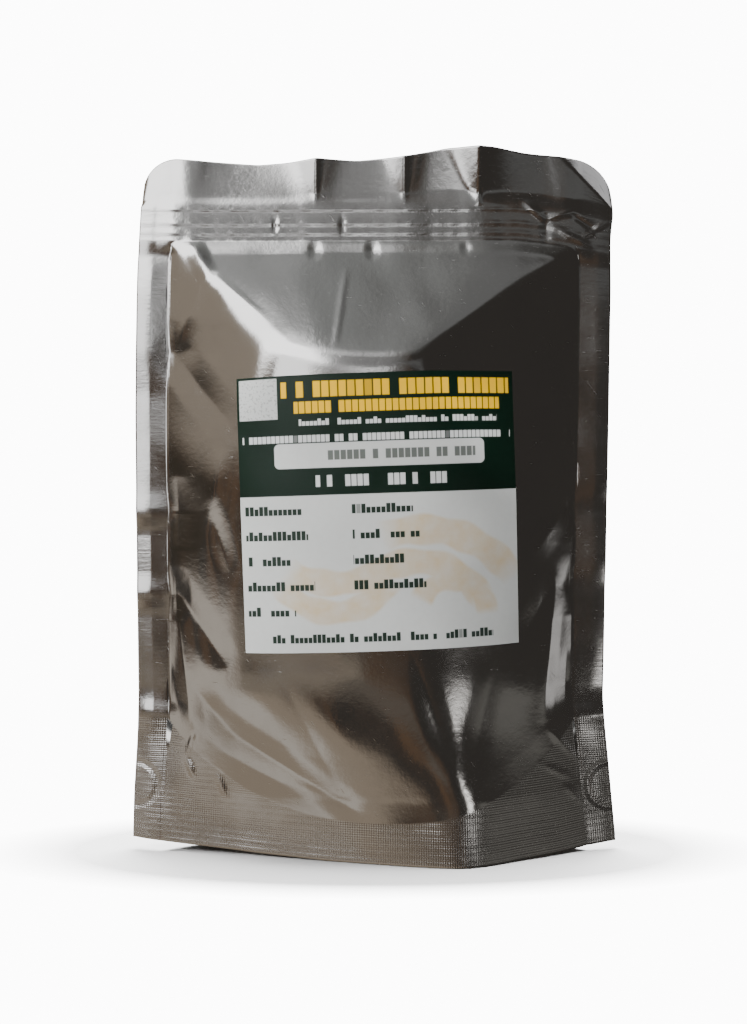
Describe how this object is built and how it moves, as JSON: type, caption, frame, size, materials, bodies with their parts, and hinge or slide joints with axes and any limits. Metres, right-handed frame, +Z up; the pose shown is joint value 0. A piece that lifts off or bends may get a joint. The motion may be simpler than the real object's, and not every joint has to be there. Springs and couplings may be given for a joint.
{
  "type": "foil stand-up zip pouch",
  "caption": "Filled stand-up pouch of metallised film with a folded bottom, a press zip and a plain paper label.",
  "frame": {"origin": "on the ground in the middle of the flat floor that the pouch stands on", "axes": "+Z up along the pouch's height, +X to the right as seen from the front, and the label faces -Y"},
  "size_m": [0.1595, 0.0553, 0.2319],
  "materials": {
    "front_film": "gloss",
    "back_film": "gloss",
    "gusset_film": "gloss",
    "zip_rib_track": "satin",
    "zip_groove_track": "satin",
    "label": "satin",
    "tamarind_fill": "matte"
  },
  "bodies": {
    "root": {"front_film": "front_film", "back_film": "back_film", "gusset_film": "gusset_film", "zip_rib_track": "zip_rib_track", "zip_groove_track": "zip_groove_track", "label": "label", "tamarind_fill": "tamarind_fill"}
  },
  "joints": []
}
